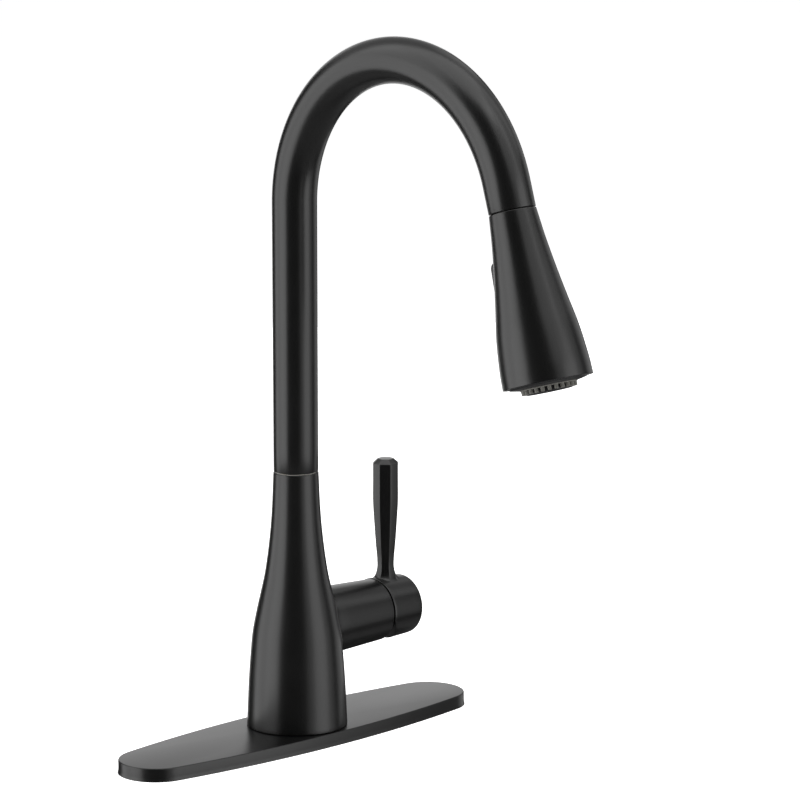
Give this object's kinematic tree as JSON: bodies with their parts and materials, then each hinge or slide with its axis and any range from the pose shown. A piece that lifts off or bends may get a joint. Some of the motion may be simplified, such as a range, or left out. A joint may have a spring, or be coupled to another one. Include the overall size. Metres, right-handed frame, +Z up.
{
  "type": "pull-down kitchen faucet",
  "caption": "Single-handle high-arc faucet on an oval deck plate, with a swivelling spout, a pull-down spray wand, a side lever and its fixing under the deck.",
  "frame": {"origin": "on the axis of the faucet body, in the plane of the sink deck under the plate", "axes": "+Z up; +X along the deck plate towards the handle; the spout reaches towards -Y"},
  "size_m": [0.2608, 0.257, 0.5261],
  "materials": {
    "body_black": "matte black coating on cast brass, satin",
    "plate_black": "matte black coating on stamped steel, satin",
    "spout_black": "matte black coating on brass tube, satin",
    "handle_black": "matte black coating on cast zinc, satin",
    "wand_black": "moulded plastic with the same black finish",
    "black_plastic": "moulded black plastic",
    "grey_silicone": "soft moulded silicone nozzles",
    "brass": "machined, bare",
    "steel": "stainless, machined",
    "copper": "drawn copper pipe, bare",
    "rubber": "moulded rubber, dull",
    "white_plastic": "moulded acetal",
    "ceramic": "lapped alumina ceramic",
    "hose_braid": "braided nylon over a water hose"
  },
  "bodies": {
    "base": {"deck_plate": "plate_black", "plate_liner": "rubber", "faucet_body": "body_black", "body_gasket": "rubber", "swivel_washer": "white_plastic", "threaded_shank": "brass", "rubber_washer": "rubber", "steel_washer": "steel", "mounting_nut": "brass", "nut_screw_1": "steel", "nut_screw_2": "steel", "cold_pipe": "copper", "hot_pipe": "copper", "outlet_pipe": "copper", "cold_fitting": "brass", "hot_fitting": "brass", "outlet_fitting": "brass", "seat_seal": "rubber", "cartridge_housing": "white_plastic", "fixed_disc": "ceramic", "cartridge_nut": "brass", "bonnet_ring": "body_black"},
    "valve_carrier": {"cartridge_carrier": "white_plastic", "pivot_pin": "steel"},
    "ceramic_slider": {"moving_disc": "ceramic"},
    "handle": {"handle": "handle_black", "cartridge_stem": "steel", "handle_set_screw": "steel", "screw_plug": "black_plastic"},
    "spout": {"spout_tube": "spout_black", "spout_spigot": "brass", "swivel_bearing_upper": "white_plastic", "swivel_o_ring": "rubber", "swivel_bearing_lower": "white_plastic", "swivel_clip": "steel", "dock_insert": "black_plastic", "spray_hose": "hose_braid", "hose_coupling": "black_plastic"},
    "hose_end": {"hose_connector": "brass"},
    "wand": {"wand_neck": "black_plastic", "check_valve": "white_plastic", "wand_shell": "wand_black", "wand_waterway": "white_plastic", "spray_face": "black_plastic", "nozzle_ring": "grey_silicone", "aerator": "black_plastic", "toggle_bezel": "black_plastic"},
    "rocker": {"spray_toggle": "black_plastic"},
    "diverter": {"diverter_spool": "white_plastic"}
  },
  "joints": [
    {"name": "spout_swivel", "type": "hinge", "parent": "base", "child": "spout", "pos_m": [0, 0, 0.1595], "axis": [0, 0, 1], "range_deg": [-180, 180]},
    {"name": "wand_pull", "type": "slide", "parent": "spout", "child": "hose_end", "axis": [0, -0.2907, -0.9568], "range_m": [0, 0.22], "deforming": ["spray_hose"]},
    {"name": "wand_twist", "type": "hinge", "parent": "hose_end", "child": "wand", "pos_m": [0, -0.17374, 0.32671], "axis": [0, -0.2907, -0.9568], "range_deg": [-180, 180]},
    {"name": "spray_toggle", "type": "hinge", "parent": "wand", "child": "rocker", "pos_m": [0, -0.16956, 0.28886], "axis": [1, 0, 0], "range_deg": [0, 6]},
    {"name": "diverter_slide", "type": "slide", "parent": "wand", "child": "diverter", "axis": [0, -0.2907, -0.9568], "range_m": [0, 0.0018]},
    {"name": "handle_temperature", "type": "hinge", "parent": "base", "child": "valve_carrier", "pos_m": [0.046, 0, 0.0663], "axis": [1, 0, 0], "range_deg": [-45, 45]},
    {"name": "handle_flow", "type": "hinge", "parent": "valve_carrier", "child": "handle", "pos_m": [0.046, 0, 0.0663], "axis": [0, 1, 0], "range_deg": [0, 25]},
    {"name": "disc_slide", "type": "slide", "parent": "valve_carrier", "child": "ceramic_slider", "axis": [0, 0, 1], "range_m": [0, 0.0032]}
  ],
  "couplings": [
    {"joint": "diverter_slide", "follows": "spray_toggle", "m_per_rad": 0.0143},
    {"joint": "disc_slide", "follows": "handle_flow", "m_per_rad": 0.0073}
  ]
}
